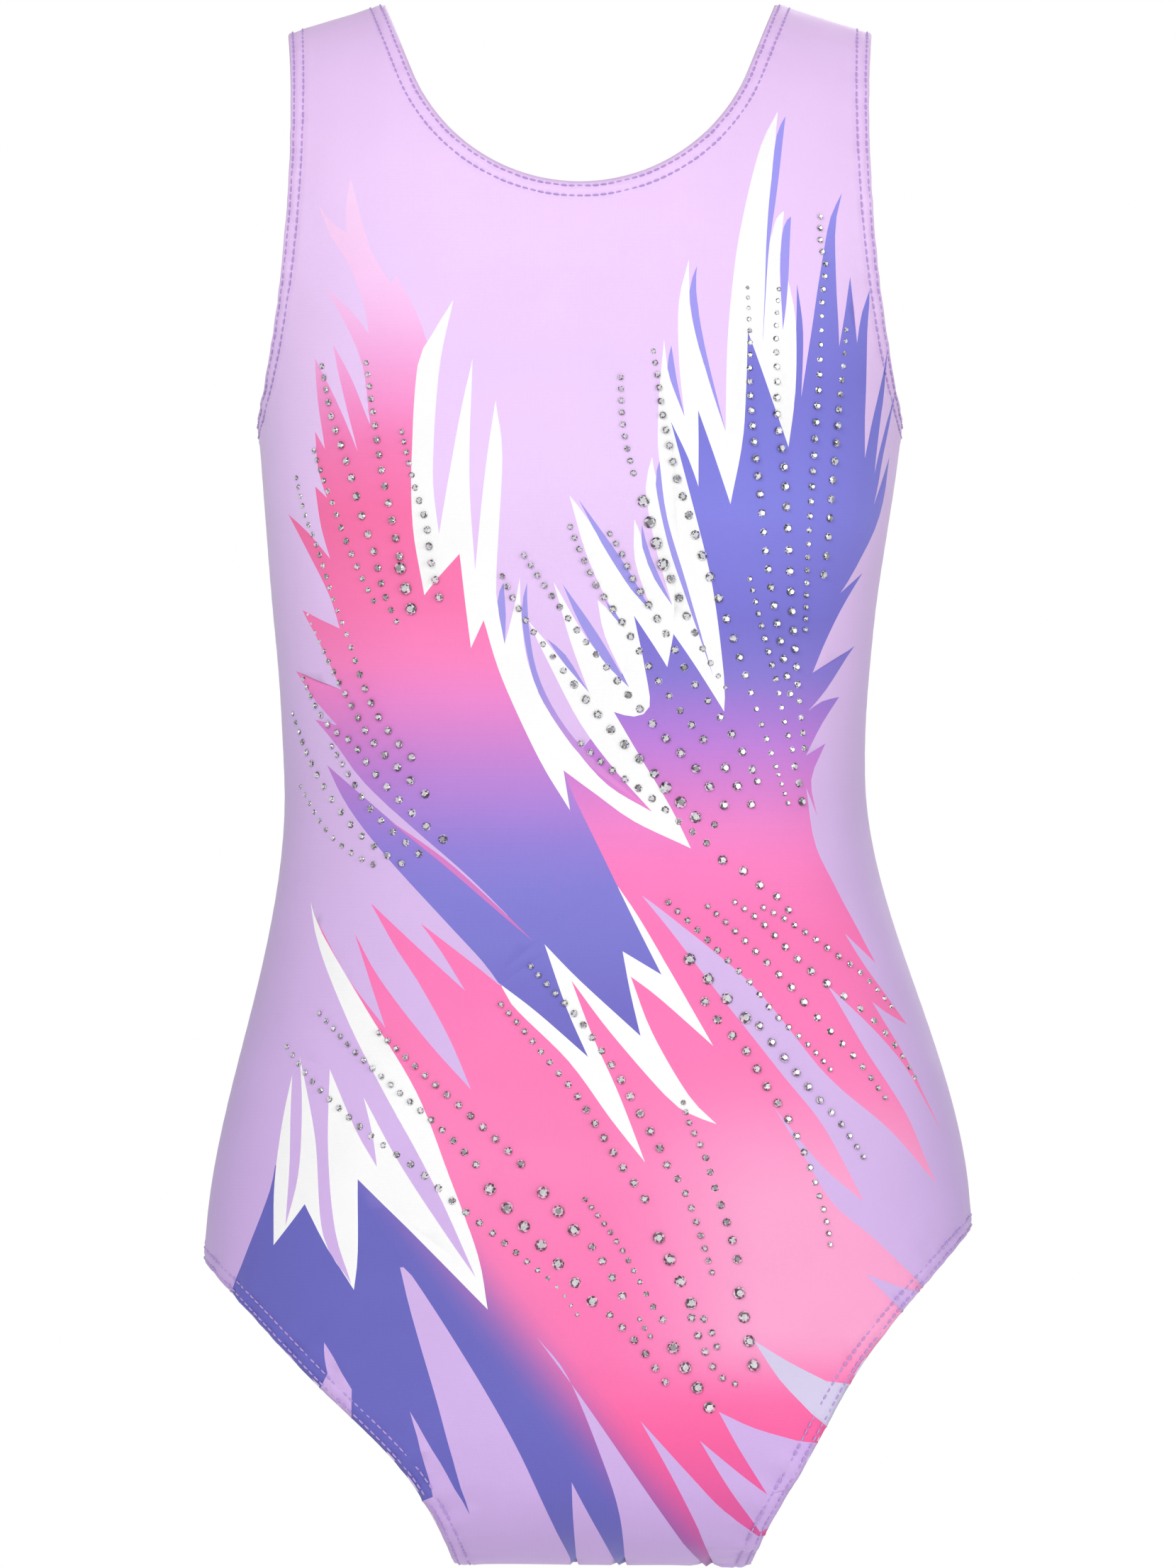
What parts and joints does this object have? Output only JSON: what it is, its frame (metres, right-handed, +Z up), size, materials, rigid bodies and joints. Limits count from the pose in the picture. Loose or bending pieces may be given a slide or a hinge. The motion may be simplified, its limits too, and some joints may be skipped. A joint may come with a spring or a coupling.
{
  "type": "gymnastics leotard",
  "caption": "Child's sleeveless gymnastics leotard with scoop neck, cut-in armholes and high-cut legs, printed stretch cloth set with rhinestones, standing open as when worn.",
  "frame": {"origin": "midway between the two shoulder seams, level with their neck ends", "axes": "+Z up along the body, front of the garment faces -Y, +X is the wearer's left"},
  "size_m": [0.2858, 0.1662, 0.5802],
  "materials": {
    "front_cloth": "printed nylon and elastane jersey, soft sheen: lilac with pink, violet, blue and white feather shapes",
    "back_cloth": "nylon and elastane jersey, soft sheen, lilac",
    "lining": "matte knitted lining",
    "elastic": "flat knitted elastic",
    "thread": "sewing thread, lilac",
    "seam": "overlocked seam allowance",
    "rhinestone": "clear faceted crystal with a foil back"
  },
  "bodies": {
    "root": {"front_panel": "front_cloth", "back_panel": "back_cloth", "crotch_lining": "lining", "neck_elastic": "elastic", "neck_stitching_outer": "thread", "neck_stitching_inner": "thread", "left_armhole_elastic": "elastic", "left_armhole_stitching_outer": "thread", "left_armhole_stitching_inner": "thread", "right_armhole_elastic": "elastic", "right_armhole_stitching_outer": "thread", "right_armhole_stitching_inner": "thread", "left_leg_elastic": "elastic", "left_leg_stitching_outer": "thread", "left_leg_stitching_inner": "thread", "right_leg_elastic": "elastic", "right_leg_stitching_outer": "thread", "right_leg_stitching_inner": "thread", "left_side_seam": "seam", "right_side_seam": "seam", "left_shoulder_seam": "seam", "right_shoulder_seam": "seam", "crotch_seam": "seam", "rhinestone_01": "rhinestone", "rhinestone_02": "rhinestone", "rhinestone_03": "rhinestone", "rhinestone_04": "rhinestone", "rhinestone_05": "rhinestone", "rhinestone_06": "rhinestone", "rhinestone_07": "rhinestone", "rhinestone_08": "rhinestone", "rhinestone_09": "rhinestone", "rhinestone_10": "rhinestone", "rhinestone_11": "rhinestone", "rhinestone_12": "rhinestone", "rhinestone_13": "rhinestone", "rhinestone_14": "rhinestone", "rhinestone_15": "rhinestone", "rhinestone_16": "rhinestone", "rhinestone_17": "rhinestone", "rhinestone_18": "rhinestone", "rhinestone_19": "rhinestone", "rhinestone_20": "rhinestone", "rhinestone_21": "rhinestone", "rhinestone_22": "rhinestone", "rhinestone_23": "rhinestone", "rhinestone_24": "rhinestone", "rhinestone_25": "rhinestone", "rhinestone_26": "rhinestone", "rhinestone_27": "rhinestone", "rhinestone_28": "rhinestone", "rhinestone_29": "rhinestone", "rhinestone_30": "rhinestone", "rhinestone_31": "rhinestone", "rhinestone_32": "rhinestone", "rhinestone_33": "rhinestone", "rhinestone_34": "rhinestone", "rhinestone_35": "rhinestone", "rhinestone_36": "rhinestone"}
  },
  "joints": []
}
